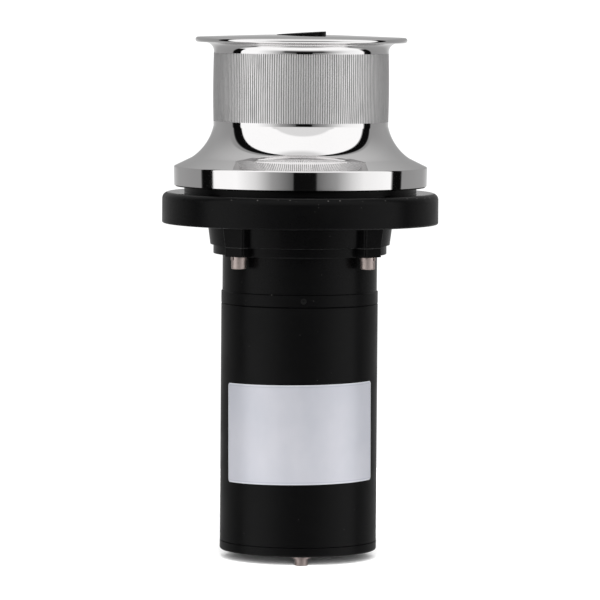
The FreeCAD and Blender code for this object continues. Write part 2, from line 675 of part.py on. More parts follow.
def motor_end_cap():
    """Rear end plate with a register, a bearing boss and two bolt holes."""
    boss_r = 22.0
    boss_top_z = REAR_BEARING_Z + REAR_BEARING[2] + 1
    register_z = MOTOR_LOW_Z + 4
    relief_r = 12.0
    relief_z = REAR_BEARING_Z - 2
    outline = Outline(0, END_CAP_Z)
    edge = 1.5
    outline.line((END_CAP_R - edge, END_CAP_Z))
    outline.fillet((END_CAP_R - edge, END_CAP_Z + edge), (END_CAP_R, END_CAP_Z + edge))
    outline.line((END_CAP_R, MOTOR_LOW_Z), (MOTOR_BORE_R, MOTOR_LOW_Z), (MOTOR_BORE_R, register_z))
    outline.line((boss_r, register_z), (boss_r, boss_top_z), (REAR_BEARING[1], boss_top_z))
    outline.line((REAR_BEARING[1], REAR_BEARING_Z), (relief_r, REAR_BEARING_Z), (relief_r, relief_z))
    outline.line((0, relief_z))
    cap = outline.spun()
    for x, y in on_circle(THROUGH_BOLT_CIRCLE_R, 2, 90.0):
        cap = cap.cut(rod(THROUGH_BOLT_R + 0.3, END_CAP_Z, register_z, x, y))
    return cap


def through_bolts():
    low = END_CAP_Z - THROUGH_WASHER - THROUGH_BOLT_HEAD
    bolt = socket_screw(THROUGH_BOLT_R, THROUGH_BOLT_HEAD_R, THROUGH_BOLT_HEAD, low, SPIGOT_Z - 1, 4.0)
    return at_places(bolt, on_circle(THROUGH_BOLT_CIRCLE_R, 2, 90.0))


def through_bolt_washers():
    washer = tube(THROUGH_BOLT_R, THROUGH_WASHER_R, END_CAP_Z - THROUGH_WASHER, END_CAP_Z)
    return at_places(washer, on_circle(THROUGH_BOLT_CIRCLE_R, 2, 90.0))


def motor_shaft():
    """Armature shaft with the first sun gear cut on its upper end."""
    front_r = FRONT_BEARING[0] - TOUCH_FIT
    rear_r = REAR_BEARING[0] - TOUCH_FIT
    rear_top_z = REAR_BEARING_Z + REAR_BEARING[2]
    low_z = REAR_BEARING_Z - 1
    seat_r = 8.5
    seat_z = rear_top_z + 0.1
    core_z = COMMUTATOR_Z[1] + 1
    shoulder_r = 10.5
    shoulder_z = FRONT_BEARING_Z - 0.1
    gear_z = FIRST_GEAR_Z[0] - 0.5
    outline = Outline(0, low_z)
    outline.line((rear_r - 0.5, low_z), (rear_r, low_z + 0.5), (rear_r, seat_z), (seat_r, seat_z))
    outline.line((seat_r, core_z), (CORE_SHAFT_R, core_z), (CORE_SHAFT_R, FRONT_BEARING_Z - 4))
    outline.line((shoulder_r, FRONT_BEARING_Z - 4), (shoulder_r, shoulder_z), (front_r, shoulder_z))
    outline.line((front_r, gear_z), (0, gear_z))
    return outline.spun().fuse(sun_teeth(gear_z, FIRST_GEAR_Z[1]))


def winding_slot(low, top):
    return radial_box(SLOT_R[0], SLOT_R[1], SLOT_WIDTH, low, top)


def armature_core():
    """Stack of laminations, with a winding slot and a narrow mouth at each tooth."""
    core = tube(CORE_SHAFT_R, CORE_R, *CORE_Z)
    slot = winding_slot(*CORE_Z).fuse(radial_box(SLOT_R[1] - 1, CORE_R + 1, SLOT_MOUTH, *CORE_Z))
    for piece in around(slot, SLOTS):
        core = core.cut(piece)
    return core


def armature_windings():
    """Copper in the slots, and the turns that cross over at both ends."""
    low, top = CORE_Z
    inner, outer, height, edge = 14.0, 35.0, 9.0, 4.0
    flat_r = outer - edge
    high_z, deep_z = top + height, low - height
    upper = Outline(inner, top).line((outer, top), (outer, high_z - edge))
    upper.fillet((flat_r, high_z - edge), (flat_r, high_z)).line((inner, high_z))
    lower = Outline(inner, low).line((outer, low), (outer, deep_z + edge))
    lower.fillet((flat_r, deep_z + edge), (flat_r, deep_z)).line((inner, deep_z))
    return Part.makeCompound([upper.spun(), lower.spun()] + around(winding_slot(low, top), SLOTS))


def commutator():
    low, top = COMMUTATOR_Z
    bars = tube(8.5, COMMUTATOR_R, low, top)
    for groove in around(radial_box(COMMUTATOR_R - 1.2, COMMUTATOR_R + 1, 0.8, low, top), SLOTS, 15.0):
        bars = bars.cut(groove)
    return bars


def magnets():
    """Four curved magnets, with gaps at the front, back and sides for the through bolts."""
    low, top = MAGNET_Z
    gap = 16.0
    ring = tube(MAGNET_INNER_R, MOTOR_BORE_R, low, top)
    for piece in around(radial_box(0, MOTOR_R, gap, low, top), 4):
        ring = ring.cut(piece)
    return Part.makeCompound(ring.Solids)


def brush_plate():
    low, top = BRUSH_PLATE_Z
    plate = tube(19.0, MOTOR_BORE_R - 0.5, low, top)
    for x, y in on_circle(THROUGH_BOLT_CIRCLE_R, 2, 90.0):
        plate = plate.cut(rod(THROUGH_BOLT_R + 0.3, low, top, x, y))
    return plate


def brush_holders():
    """Four open-ended boxes that guide the brushes towards the commutator."""
    low = BRUSH_PLATE_Z[1]
    inner, outer = BRUSH_HOLDER_R
    holder = radial_box(inner, outer, BRUSH_SIDE + 3, low, low + 19)
    holder = holder.cut(radial_box(inner, outer, BRUSH_SIDE, low + 3, low + 17))
    return Part.makeCompound(around(holder, 4, 45.0))


def brushes():
    low = BRUSH_PLATE_Z[1] + 3
    brush = radial_box(10, BRUSH_R, BRUSH_SIDE, low, low + 14).cut(rod(COMMUTATOR_R + 0.3, low, low + 14))
    return Part.makeCompound(around(brush, 4, 45.0))


def brush_springs():
    """A bent leaf on the plate that presses on the back of each brush."""
    foot_z = BRUSH_PLATE_Z[1]
    leaf = 0.6
    width = 5.0
    foot_end_r = 43
    bend_r = BRUSH_HOLDER_R[1] + 1
    leg = [(bend_r, foot_z), (bend_r, foot_z + 2), (BRUSH_R, foot_z + 10), (BRUSH_R, foot_z + 13)]
    side = [(foot_end_r, foot_z)] + leg
    back = [(r + leaf, z + leaf * 0.2) for r, z in reversed(side[2:])]
    foot = [(bend_r + leaf, foot_z + leaf), (foot_end_r, foot_z + leaf)]
    corners = [Vector(r, -width / 2, z) for r, z in side + back + foot]
    spring = Part.Face(Part.makePolygon(corners + corners[:1])).extrude(Vector(0, width, 0))
    return Part.makeCompound(around(spring, 4, 45.0))


def at_terminals(shape):
    return Part.makeCompound([turned(shape, angle) for angle in TERMINAL_ANGLES])


def terminal_studs():
    return at_terminals(radial_rod(TERMINAL_R, *TERMINAL_STUD, TERMINAL_Z))


def terminal_bushes():
    """Insulating bush through the motor's wall, with a flange that follows its curve."""
    flange_r = 8.5
    flange = radial_rod(flange_r, MOTOR_R - 3, TERMINAL_SEAT_R, TERMINAL_Z)
    flange = flange.cut(rod(MOTOR_R, TERMINAL_Z - flange_r - 1, TERMINAL_Z + flange_r + 1))
    bush = flange.fuse(radial_rod(TERMINAL_BUSH_R, TERMINAL_STUD[0] + 1, MOTOR_R + 1, TERMINAL_Z))
    return at_terminals(bush.cut(radial_rod(TERMINAL_R, *TERMINAL_STUD, TERMINAL_Z)))


def stack_starts():
    """Where each of the two pairs of washer and nut starts along a stud."""
    return [TERMINAL_SEAT_R, TERMINAL_SEAT_R + TERMINAL_WASHER + TERMINAL_NUT]


def terminal_washers():
    stud = radial_rod(TERMINAL_R, *TERMINAL_STUD, TERMINAL_Z)
    washers = [radial_rod(6.0, r, r + TERMINAL_WASHER, TERMINAL_Z).cut(stud) for r in stack_starts()]
    return at_terminals(Part.makeCompound(washers))


def terminal_nuts():
    stud = radial_rod(TERMINAL_R, *TERMINAL_STUD, TERMINAL_Z)
    nuts = []
    for r in stack_starts():
        nut = hexagon(10.0, 0, TERMINAL_NUT)
        nut.rotate(ORIGIN, Vector(0, 1, 0), 90)
        nut.translate(Vector(r + TERMINAL_WASHER, 0, TERMINAL_Z))
        nuts.append(nut.cut(stud))
    return at_terminals(Part.makeCompound(nuts))


def nodes():
    """Every sub-part by its name."""
    parts = {
        "drum": drum(),
        "drum_cap": drum_cap(),
        "drum_bolt": drum_bolt(),
        "drum_washer": drum_washer(),
        "drum_key": drum_key(),
        "main_shaft": main_shaft(),
        "output_pins": planet_pins(OUTPUT_CARRIER, OUTPUT_GEAR_Z, OUTPUT_PIN_R),
        "output_clips": pin_clips(OUTPUT_GEAR_Z, OUTPUT_PIN_R),
        "output_thrust_washer": tube(3.0, 9.0, OUTPUT_GEAR_Z[1] + 0.1, OUTPUT_CARRIER[1]),
        "bearing_spacer": bearing_spacer(),
        "first_carrier": first_carrier(),
        "first_pins": planet_pins(FIRST_CARRIER, FIRST_GEAR_Z, FIRST_PIN_R),
        "first_clips": pin_clips(FIRST_GEAR_Z, FIRST_PIN_R),
        "first_thrust_washer": tube(3.0, 7.0, FIRST_GEAR_Z[1] + 0.1, FIRST_CARRIER[1]),
        "deck_flange": deck_flange(),
        "upper_bearing": bearing(UPPER_BEARING, UPPER_BEARING_Z),
        "lower_bearing": bearing(LOWER_BEARING, LOWER_BEARING_Z),
        "bearing_circlip": bearing_circlip(),
        "shaft_seal": shaft_seal(),
        "housing_gasket": housing_gasket(),
        "gearbox_barrel": gearbox_barrel(),
        "ring_gear": ring_gear(),
        "housing_screws": housing_screws(),
        "spring_washers": spring_washers(),
        "motor_front_plate": motor_front_plate(),
        "ring_screws": ring_screws(),
        "motor_oil_seal": motor_oil_seal(),
        "front_motor_bearing": bearing(FRONT_BEARING, FRONT_BEARING_Z),
        "rear_motor_bearing": bearing(REAR_BEARING, REAR_BEARING_Z),
        "motor_barrel": motor_barrel(),
        "motor_end_cap": motor_end_cap(),
        "through_bolts": through_bolts(),
        "through_bolt_washers": through_bolt_washers(),
        "magnets": magnets(),
        "brush_plate": brush_plate(),
        "brush_holders": brush_holders(),
        "brushes": brushes(),
        "brush_springs": brush_springs(),
        "terminal_studs": terminal_studs(),
        "terminal_bushes": terminal_bushes(),
        "terminal_washers": terminal_washers(),
        "terminal_nuts": terminal_nuts(),
        "motor_shaft": motor_shaft(),
        "armature_core": armature_core(),
        "armature_windings": armature_windings(),
        "commutator": commutator(),
    }
    output_planet = planet_gear(OUTPUT_GEAR_Z, 8.0, OUTPUT_PIN_R)
    first_planet = planet_gear(FIRST_GEAR_Z, 7.0, FIRST_PIN_R)
    for i in range(PLANETS):
        parts[f"output_planet_{i + 1}"] = turned(output_planet, 360.0 * i / PLANETS)
        parts[f"first_planet_{i + 1}"] = turned(first_planet, 360.0 * i / PLANETS)
    return parts


def main():
    os.makedirs("parts", exist_ok=True)
    for name, shape in nodes().items():
        shape.exportStep(f"parts/{name}.step")


main()
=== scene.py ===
import logging
import math
from dataclasses import dataclass
from enum import Enum

import bmesh
import bpy
from mathutils import Matrix, Quaternion, Vector
from mathutils.geometry import interpolate_bezier


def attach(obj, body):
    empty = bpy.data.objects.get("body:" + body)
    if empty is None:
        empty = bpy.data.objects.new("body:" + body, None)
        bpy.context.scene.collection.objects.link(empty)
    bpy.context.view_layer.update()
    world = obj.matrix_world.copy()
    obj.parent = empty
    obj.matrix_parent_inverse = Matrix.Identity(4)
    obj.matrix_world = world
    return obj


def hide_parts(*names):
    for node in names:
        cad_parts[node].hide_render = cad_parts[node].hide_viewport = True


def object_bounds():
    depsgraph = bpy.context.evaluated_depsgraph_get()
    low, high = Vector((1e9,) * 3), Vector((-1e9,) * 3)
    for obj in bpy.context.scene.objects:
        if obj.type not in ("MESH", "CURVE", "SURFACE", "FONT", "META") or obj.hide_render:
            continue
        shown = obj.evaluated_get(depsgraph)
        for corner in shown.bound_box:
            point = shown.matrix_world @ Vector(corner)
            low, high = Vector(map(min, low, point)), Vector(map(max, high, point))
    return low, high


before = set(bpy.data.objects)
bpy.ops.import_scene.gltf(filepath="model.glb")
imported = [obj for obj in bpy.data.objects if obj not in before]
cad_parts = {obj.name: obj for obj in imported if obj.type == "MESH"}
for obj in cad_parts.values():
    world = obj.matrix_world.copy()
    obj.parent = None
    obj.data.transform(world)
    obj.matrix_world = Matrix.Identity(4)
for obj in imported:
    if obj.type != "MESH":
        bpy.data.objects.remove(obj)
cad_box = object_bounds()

MM = 0.001
FULL_TURN = 2 * math.pi

log = logging.getLogger("deck_capstan")

Number = float | int
Colour = tuple[float, float, float]

WHITE: Colour = (1.0, 1.0, 1.0)
BLACK: Colour = (0.0, 0.0, 0.0)


class Slot(Enum):
    """The record's material slots, by the names that the record gives them."""

    POLISHED_STAINLESS = "polished_stainless"
    BLACK_CASTING = "black_casting"
    BLACK_MOTOR = "black_motor"
    BLACK_PLASTIC = "black_plastic"
    STAINLESS_FASTENER = "stainless_fastener"
    SHAFT_STEEL = "shaft_steel"
    GEAR_STEEL = "gear_steel"
    BEARING_STEEL = "bearing_steel"
    BRONZE = "bronze"
    SEAL_RUBBER = "seal_rubber"
    GASKET_FIBRE = "gasket_fibre"
    LAMINATION_STEEL = "lamination_steel"
    COPPER = "copper"
    FERRITE = "ferrite"
    CARBON = "carbon"
    INSULATION = "insulation"
    BRASS_TERMINAL = "brass_terminal"


class Body(Enum):
    """The moving bodies that new pieces ride on."""

    HOUSING = "housing"
    DRUM = "drum"
    CAP = "cap"


class Signal:
    """A value in a node tree. An expression on it adds Math nodes."""

    def __init__(self, sheet: "NodeSheet", socket: bpy.types.NodeSocket) -> None:
        """Args:
            sheet: The node tree's wrapper.
            socket: The output that carries the value.
        """
        self.sheet = sheet
        self.socket = socket

    def math(self, operation: str, *others: "Number | Signal") -> "Signal":
        """A Math node on this value and up to two others.

        Args:
            operation: The Math node's operation.
            others: The further values.

        Returns:
            The node's result.
        """
        values = dict(enumerate((self, *others)))
        return self.sheet.add("ShaderNodeMath", {"operation": operation}, values)

    def reflected(self, operation: str, first: Number) -> "Signal":
        """A Math node whose first value is a plain number and whose second is this one."""
        return self.sheet.add("ShaderNodeMath", {"operation": operation}, {0: first, 1: self})

    def __add__(self, other: "Number | Signal") -> "Signal":
        """This value plus another."""
        return self.math("ADD", other)

    __radd__ = __add__

    def __sub__(self, other: "Number | Signal") -> "Signal":
        """This value less another."""
        return self.math("SUBTRACT", other)

    def __rsub__(self, other: Number) -> "Signal":
        """A number less this value."""
        return self.reflected("SUBTRACT", other)

    def __mul__(self, other: "Number | Signal") -> "Signal":
        """This value times another."""
        return self.math("MULTIPLY", other)

    __rmul__ = __mul__

    def __truediv__(self, other: "Number | Signal") -> "Signal":
        """This value over another."""
        return self.math("DIVIDE", other)

    def __rtruediv__(self, other: Number) -> "Signal":
        """A number over this value."""
        return self.reflected("DIVIDE", other)

    def __pow__(self, other: "Number | Signal") -> "Signal":
        """This value to a power."""
        return self.math("POWER", other)

    def __abs__(self) -> "Signal":
        """This value without its sign."""
        return self.math("ABSOLUTE")

    def lowest(self, other: "Number | Signal") -> "Signal":
        """The lower of this value and another."""
        return self.math("MINIMUM", other)

    def eased(self, low: Number, high: Number, start: Number = 0.0, end: Number = 1.0) -> "Signal":
        """A smooth step of this value.

        Args:
            low: Where the step starts.
            high: Where the step ends.
            start: The result before the step.
            end: The result after the step.

        Returns:
            The stepped value.
        """
        settings = {"interpolation_type": "SMOOTHSTEP"}
        values = {"Value": self, "From Min": low, "From Max": high, "To Min": start, "To Max": end}
        return self.sheet.add("ShaderNodeMapRange", settings, values)

    def band(self, low: Number, high: Number, soft: Number) -> "Signal":
        """1 where this value lies from low to high, with soft shoulders outside."""
        return self.eased(low - soft, low) * self.eased(high, high + soft, 1.0, 0.0)


class NodeSheet:
    """Adds nodes to one node tree."""

    def __init__(self, tree: bpy.types.NodeTree) -> None:
        """Args:
            tree: The node tree, which is emptied.
        """
        self.tree = tree
        tree.nodes.clear()

    def add(
        self,
        kind: str,
        settings: dict[str, object] | None = None,
        sockets: dict[str | int, object] | None = None,
        output: str | int = 0,
    ) -> Signal:
        """Adds any node.

        Args:
            kind: The node's type.
            settings: Its properties, set first; "stops" fills a ramp.
            sockets: Plain values or signals for its inputs.
            output: The output that is wanted.

        Returns:
            The chosen output.
        """
        node = self.tree.nodes.new(kind)
        for name, value in (settings or {}).items():
            if name == "stops":
                self.fill_ramp(node.color_ramp, value)
            else:
                setattr(node, name, value)
        for key, value in (sockets or {}).items():
            if isinstance(value, Signal):
                self.tree.links.new(value.socket, node.inputs[key])
            else:
                node.inputs[key].default_value = value
        return Signal(self, node.outputs[output]) if node.outputs else Signal(self, None)

    @staticmethod
    def fill_ramp(ramp: bpy.types.ColorRamp, stops: list[tuple[float, object]]) -> None:
        """Sets a ramp's stops, each a place and a grey or a colour."""
        for index, (place, value) in enumerate(stops):
            element = ramp.elements[index] if index < 2 else ramp.elements.new(place)
            element.position = place
            shade = value if isinstance(value, tuple) else (value, value, value)
            element.color = (*shade, 1.0)

    def place(self) -> Signal:
        """The object's own coordinates, in metres."""
        return self.add("ShaderNodeTexCoord", output="Object")

    def stretched(self, vector: Signal, scale: Colour) -> Signal:
        """A vector with each part scaled."""
        return self.add("ShaderNodeMapping", sockets={"Vector": vector, "Scale": scale})

    def split(self, vector: Signal) -> tuple[Signal, Signal, Signal]:
        """The three parts of a vector."""
        node = self.add("ShaderNodeSeparateXYZ", sockets={0: vector}).socket.node
        return tuple(Signal(self, node.outputs[i]) for i in range(3))

    def noise(self, vector: Signal, scale: float, detail: float = 2.0, rough: float = 0.5) -> Signal:
        """Soft noise from 0 to 1.

        Args:
            vector: Where it is read.
            scale: Waves per metre.
            detail: Octaves.
            rough: Weight of the finer octaves.

        Returns:
            The noise.
        """
        values = {"Vector": vector, "Scale": scale, "Detail": detail, "Roughness": rough}
        return self.add("ShaderNodeTexNoise", sockets=values)

    def specks(self, vector: Signal, scale: float, radius: float, share: float) -> Signal:
        """Small round specks in some of a grid's cells.

        Args:
            vector: Where they are read.
            scale: Cells per metre.
            radius: A speck's radius as a share of a cell.
            share: The share of cells that hold one.

        Returns:
            1 in a speck and 0 elsewhere.
        """
        values = {"Vector": vector, "Scale": scale, "Randomness": 1.0}
        near = self.add("ShaderNodeTexVoronoi", {"feature": "F1"}, values)
        cell = Signal(self, near.socket.node.outputs["Color"])
        pick = self.split(cell)[0]
        chosen = pick.math("LESS_THAN", share)
        return near.eased(radius * 0.6, radius, 1.0, 0.0) * chosen

    def blended(self, factor: Number | Signal, first: object, second: object) -> Signal:
        """A colour between two.

        Args:
            factor: 0 for the first and 1 for the second.
            first: A colour or a signal.
            second: A colour or a signal.

        Returns:
            The mixed colour.
        """
        colours = [(*c, 1.0) if isinstance(c, tuple) else c for c in (first, second)]
        values = {0: factor, 6: colours[0], 7: colours[1]}
        return self.add("ShaderNodeMix", {"data_type": "RGBA"}, values, 2)

    def bump(self, height: Signal, distance: float, strength: float = 1.0) -> Signal:
        """A normal from a height between 0 and 1 that stands for the distance in metres."""
        values = {"Height": height, "Distance": distance, "Strength": strength}
        return self.add("ShaderNodeBump", sockets=values, output="Normal")


@dataclass(frozen=True)
class Finish:
    """What every finish has: a name, and a surface made once."""

    name: str

    def surface(self, sheet: NodeSheet) -> dict[str, object]:
        """The shader's sockets that the finish sets.

        Args:
            sheet: The material's node tree.

        Returns:
            Values and signals by socket name.
        """
        raise NotImplementedError

    def material(self) -> bpy.types.Material:
        """The Blender material of this finish."""
        made = bpy.data.materials.get(self.name)
        if made is None:
            made = bpy.data.materials.new(self.name)
            made.use_nodes = True
            sheet = NodeSheet(made.node_tree)
            shader = sheet.add("ShaderNodeBsdfPrincipled", sockets=self.surface(sheet))
            sheet.add("ShaderNodeOutputMaterial", sockets={"Surface": shader})
        return made


@dataclass(frozen=True)
class MirrorSteel(Finish):
    """Mirror-polished stainless steel with faint polishing lines and wiping marks."""

    colour: Colour = (0.86, 0.85, 0.85)
    rough: float = 0.035
    haze: float = 0.05
    line_pitch: float = 0.6 * MM

    def surface(self, sheet: NodeSheet) -> dict[str, object]:
        """Args:
            sheet: The material's node tree.

        Returns:
            Values and signals by socket name.
        """
        place = sheet.place()
        lines = sheet.noise(sheet.stretched(place, (40.0, 40.0, 1 / self.line_pitch)), 1.0, 3.0, 0.6)
        wipes = sheet.noise(place, 28.0, 4.0, 0.55)
        stain = wipes.eased(0.45, 0.75)
        return {
            "Base Color": sheet.blended(stain * 0.25, self.colour, tuple(c * 0.93 for c in self.colour)),
            "Metallic": 1.0,
            "Roughness": stain * self.haze + lines * 0.02 + self.rough - 0.01,
            "Normal": sheet.bump(lines, 0.0015 * MM),
        }


@dataclass(frozen=True)
class RibbedSteel(Finish):
    """Stainless steel of the straight-knurled band: satin on the ribs, with painted shade in the grooves."""

    ribs: int
    groove_share: float
    colour: Colour = (0.97, 0.96, 0.96)
    rough: float = 0.40
    painted_groove_shade: float = 0.92

    def surface(self, sheet: NodeSheet) -> dict[str, object]:
        """Args:
            sheet: The material's node tree.

        Returns:
            Values and signals by socket name.
        """
        place = sheet.place()
        grain = sheet.noise(sheet.stretched(place, (900.0, 900.0, 60.0)), 1.0, 2.0, 0.6)
        blotch = sheet.noise(sheet.stretched(place, (120.0, 120.0, 60.0)), 1.0, 3.0, 0.6)
        dull = grain.eased(0.35, 0.75) * 0.6 + blotch.eased(0.45, 0.75) * 0.4
        x, y, _ = sheet.split(place)
        turn = y.math("ARCTAN2", x) * (self.ribs / FULL_TURN)
        across = abs(turn.math("FRACT") - 0.5) / (self.groove_share / 2)
        # Painted shade: the steel's colour is darkened in each groove, where the ribs shade it.
        groove = across.eased(0.15, 1.0, 1.0, 0.0) * self.painted_groove_shade
        metal = sheet.blended(dull, self.colour, tuple(c * 0.78 for c in self.colour))
        return {
            "Base Color": sheet.blended(groove, metal, tuple(c * 0.15 for c in self.colour)),
            "Metallic": 1.0,
            "Roughness": dull * 0.18 + self.rough,
        }


@dataclass(frozen=True)
class BlackPaint(Finish):
    """Satin black coating over metal, with fine grain, dust and rubbed marks.

    The coat is smooth on a machined face at smooth_z.
    Pale specks lie along the listed edges: partly chipped paint, partly painted glints of the edge highlight.
    """

    colour: Colour = (0.0024, 0.0024, 0.0026)
    worn_and_glint: Colour = (0.12, 0.115, 0.11)
    rough: float = 0.30
    shine: float = 0.11
    grain_pitch: float = 0.5 * MM
    grain_depth: float = 0.006 * MM
    dust: float = 0.45
    scuff: float = 0.06
    smooth_z: float = 1.0
    smooth_rough: float = 0.1
    chip_and_glint_z: tuple[float, ...] = ()
    chip_and_glint_reach: float = 0.4 * MM
    chip_and_glint_share: float = 0.2

    def surface(self, sheet: NodeSheet) -> dict[str, object]:
        """Args:
            sheet: The material's node tree.

        Returns:
            Values and signals by socket name.
        """
        place = sheet.place()
        grain = sheet.noise(place, 1 / self.grain_pitch, 3.0, 0.55)
        clouds = sheet.noise(place, 30.0, 4.0, 0.6).eased(0.42, 0.72)
        warp = sheet.noise(place, 120.0, 2.0)
        strokes = sheet.noise(sheet.stretched(place, (260.0, 260.0, 1400.0)), 1.0, 1.0)
        scratch = abs(strokes + warp * 0.35 - 0.68).eased(0.0, 0.008, 1.0, 0.0) * clouds
        dust = sheet.specks(place, 420.0, 0.14, 0.03) + sheet.specks(place, 160.0, 0.05, 0.08)
        z = sheet.split(place)[2]
        # Pale specks along edges: partly chipped paint, partly painted glints where the edge highlight falls.
        chips_and_glints = sheet.specks(place, 520.0, 0.32, self.chip_and_glint_share)
        marks = dust * self.dust + scratch * self.scuff
        for edge in self.chip_and_glint_z:
            marks = marks + chips_and_glints * z.band(edge - self.chip_and_glint_reach, edge + self.chip_and_glint_reach, 0.2 * MM)
        marks = marks.lowest(1.0)
        smooth = z.band(self.smooth_z - 0.2 * MM, self.smooth_z + 0.2 * MM, 0.1 * MM)
        coat = clouds * 0.08 + grain * 0.08 + (self.rough - 0.06)
        return {
            "Base Color": sheet.blended(marks, self.colour, self.worn_and_glint),
            "Roughness": coat * (1.0 - smooth) + smooth * self.smooth_rough,
            "IOR": 1.5,
            "Specular IOR Level": self.shine,
            "Normal": sheet.bump(grain, self.grain_depth),
        }


@dataclass(frozen=True)
class LabelFilm(Finish):
    """Pale silvery printed film with a thin border line inside its edge.

    Its colour carries a painted vertical sheen, and painted shade towards its sides.
    """

    centre_turn: float
    half_turn: float
    low_z: float
    top_z: float
    radius: float
    tilt: float
    pale: Colour = (0.62, 0.62, 0.67)
    deep: Colour = (0.48, 0.50, 0.56)
    line: Colour = (0.30, 0.34, 0.42)
    rim: Colour = (0.80, 0.82, 0.86)
    inset: float = 1.3 * MM
    line_width: float = 0.25 * MM

    def surface(self, sheet: NodeSheet) -> dict[str, object]:
        """Args:
            sheet: The material's node tree.

        Returns:
            Values and signals by socket name.
        """
        place = sheet.place()
        turned = sheet.add(
            "ShaderNodeVectorRotate",
            {"rotation_type": "Z_AXIS"},
            {"Vector": place, "Angle": -self.centre_turn},
        )
        x, y, z = sheet.split(turned)
        level = y.math("ARCTAN2", x) * self.radius
        rise = z - (self.low_z + self.top_z) / 2
        along = level + rise * math.tan(self.tilt)
        half_width = self.half_turn * self.radius
        half_height = (self.top_z - self.low_z) / 2
        edge = (half_width - abs(along)).lowest(half_height - abs(rise - level * math.tan(self.tilt)))
        border = edge.band(self.inset, self.inset + self.line_width, 0.08 * MM)
        clouds = sheet.noise(sheet.stretched(place, (30.0, 30.0, 22.0)), 1.0, 3.0, 0.6)
        # Painted sheen: soft vertical streaks of lighter colour.
        painted_sheen = sheet.noise(sheet.stretched(place, (70.0, 70.0, 6.0)), 1.0, 1.0)
        # Painted shade: lighter in the label's middle and darker towards its sides, where the curved film
        # turns from the light.
        centre = 1.0 - (abs(along) / half_width) ** 2 * 0.5
        tone = (clouds.eased(0.25, 0.75) * 0.4 + painted_sheen * 0.3 + centre * 0.35).lowest(1.0)
        film = sheet.blended(tone, self.deep, self.pale)
        film = sheet.blended(edge.eased(0.25 * MM, 0.6 * MM, 0.8, 0.0), film, self.rim)
        return {
            "Base Color": sheet.blended(border * 0.45, film, self.line),
            "Metallic": 0.25,
            "Roughness": clouds * 0.1 + 0.34,
        }


@dataclass(frozen=True)
class BareMetal(Finish):
    """Bare metal of a small or inner part, with turning marks and a little tarnish."""

    colour: Colour = (0.62, 0.60, 0.58)
    rough: float = 0.28
    tarnish: Colour = (0.30, 0.28, 0.26)
    pitch: float = 0.4 * MM

    def surface(self, sheet: NodeSheet) -> dict[str, object]:
        """Args:
            sheet: The material's node tree.

        Returns:
            Values and signals by socket name.
        """
        place = sheet.place()
        marks = sheet.noise(sheet.stretched(place, (150.0, 150.0, 1 / self.pitch)), 1.0, 2.0)
        stains = sheet.noise(place, 220.0, 3.0, 0.6).eased(0.5, 0.8)
        return {
            "Base Color": sheet.blended(stains * 0.5, self.colour, self.tarnish),
            "Metallic": 1.0,
            "Roughness": marks * 0.12 + stains * 0.15 + self.rough,
            "Normal": sheet.bump(marks, 0.004 * MM),
        }


@dataclass(frozen=True)
class DullSolid(Finish):
    """Rubber, fibre, plastic, carbon or ferrite: a dull solid with a fine grain."""

    colour: Colour = (0.02, 0.02, 0.02)
    second: Colour = (0.05, 0.05, 0.05)
    rough: float = 0.6
    pitch: float = 0.8 * MM
    depth: float = 0.02 * MM

    def surface(self, sheet: NodeSheet) -> dict[str, object]:
        """Args:
            sheet: The material's node tree.

        Returns:
            Values and signals by socket name.
        """
        place = sheet.place()
        grain = sheet.noise(place, 1 / self.pitch, 3.0, 0.6)
        return {
            "Base Color": sheet.blended(grain, self.colour, self.second),
            "Roughness": grain * 0.15 + (self.rough - 0.07),
            "Normal": sheet.bump(grain, self.depth),
        }


@dataclass(frozen=True)
class PaleFloor(Finish):
    """Plain pale matt floor."""

    colour: Colour = (0.93, 0.93, 0.93)

    def surface(self, sheet: NodeSheet) -> dict[str, object]:
        """Args:
            sheet: The material's node tree.

        Returns:
            Values and signals by socket name.
        """
        grain = sheet.noise(sheet.place(), 60.0, 2.0)
        return {
            "Base Color": sheet.blended(grain, self.colour, tuple(c * 0.99 for c in self.colour)),
            "Roughness": 0.9,
            "Specular IOR Level": 0.0,
        }


class Profile:
    """A chain of points in the half plane y = 0, each a radius and a height in millimetres."""

    def __init__(self, radius: float, height: float) -> None:
        """Args:
            radius: The first point's radius.
            height: The first point's height.
        """
        self.points: list[tuple[float, float]] = [(radius, height)]

    def line(self, *points: tuple[float, float]) -> "Profile":
        """Straight runs to further points."""
        self.points += points
        return self

    def arc(self, centre: Vector, turn: float, steps: int) -> "Profile":
        """An arc from the last point about a centre.

        Args:
            centre: Radius and height of the centre.
            turn: The angle turned, in degrees, anticlockwise positive.
            steps: The number of runs.

        Returns:
            The profile.
        """
        start = Vector(self.points[-1]) - centre
        for step in range(1, steps + 1):
            spoke = start.copy()
            spoke.rotate(Matrix.Rotation(math.radians(turn) * step / steps, 2))
            self.points.append(tuple(centre + spoke))
        return self

    def bezier(self, first: Vector, second: Vector, end: Vector, steps: int) -> "Profile":
        """A cubic curve from the last point.

        Args:
            first: The first handle.
            second: The second handle.
            end: The end point.
            steps: The number of runs.

        Returns:
            The profile.
        """
        start = Vector(self.points[-1])
        curve = interpolate_bezier(start, first, second, end, steps + 1)
        self.points += [tuple(point) for point in curve[1:]]
        return self

    def spun(self, steps: int) -> bmesh.types.BMesh:
        """The closed ring that the profile makes about the Z axis.

        Args:
            steps: The number of steps of the full turn.

        Returns:
            The mesh, with its normals outwards.
        """
        ring = bmesh.new()
        verts = [ring.verts.new((r * MM, 0.0, z * MM)) for r, z in self.points]
        edges = [ring.edges.new((a, b)) for a, b in zip(verts, verts[1:] + verts[:1])]
        bmesh.ops.spin(
            ring,
            geom=verts + edges,
            cent=(0, 0, 0),
            axis=(0, 0, 1),
            angle=FULL_TURN,
            steps=steps,
            use_merge=True,
        )
        bmesh.ops.remove_doubles(ring, verts=ring.verts, dist=1e-7)
        bmesh.ops.recalc_face_normals(ring, faces=ring.faces)
        return ring


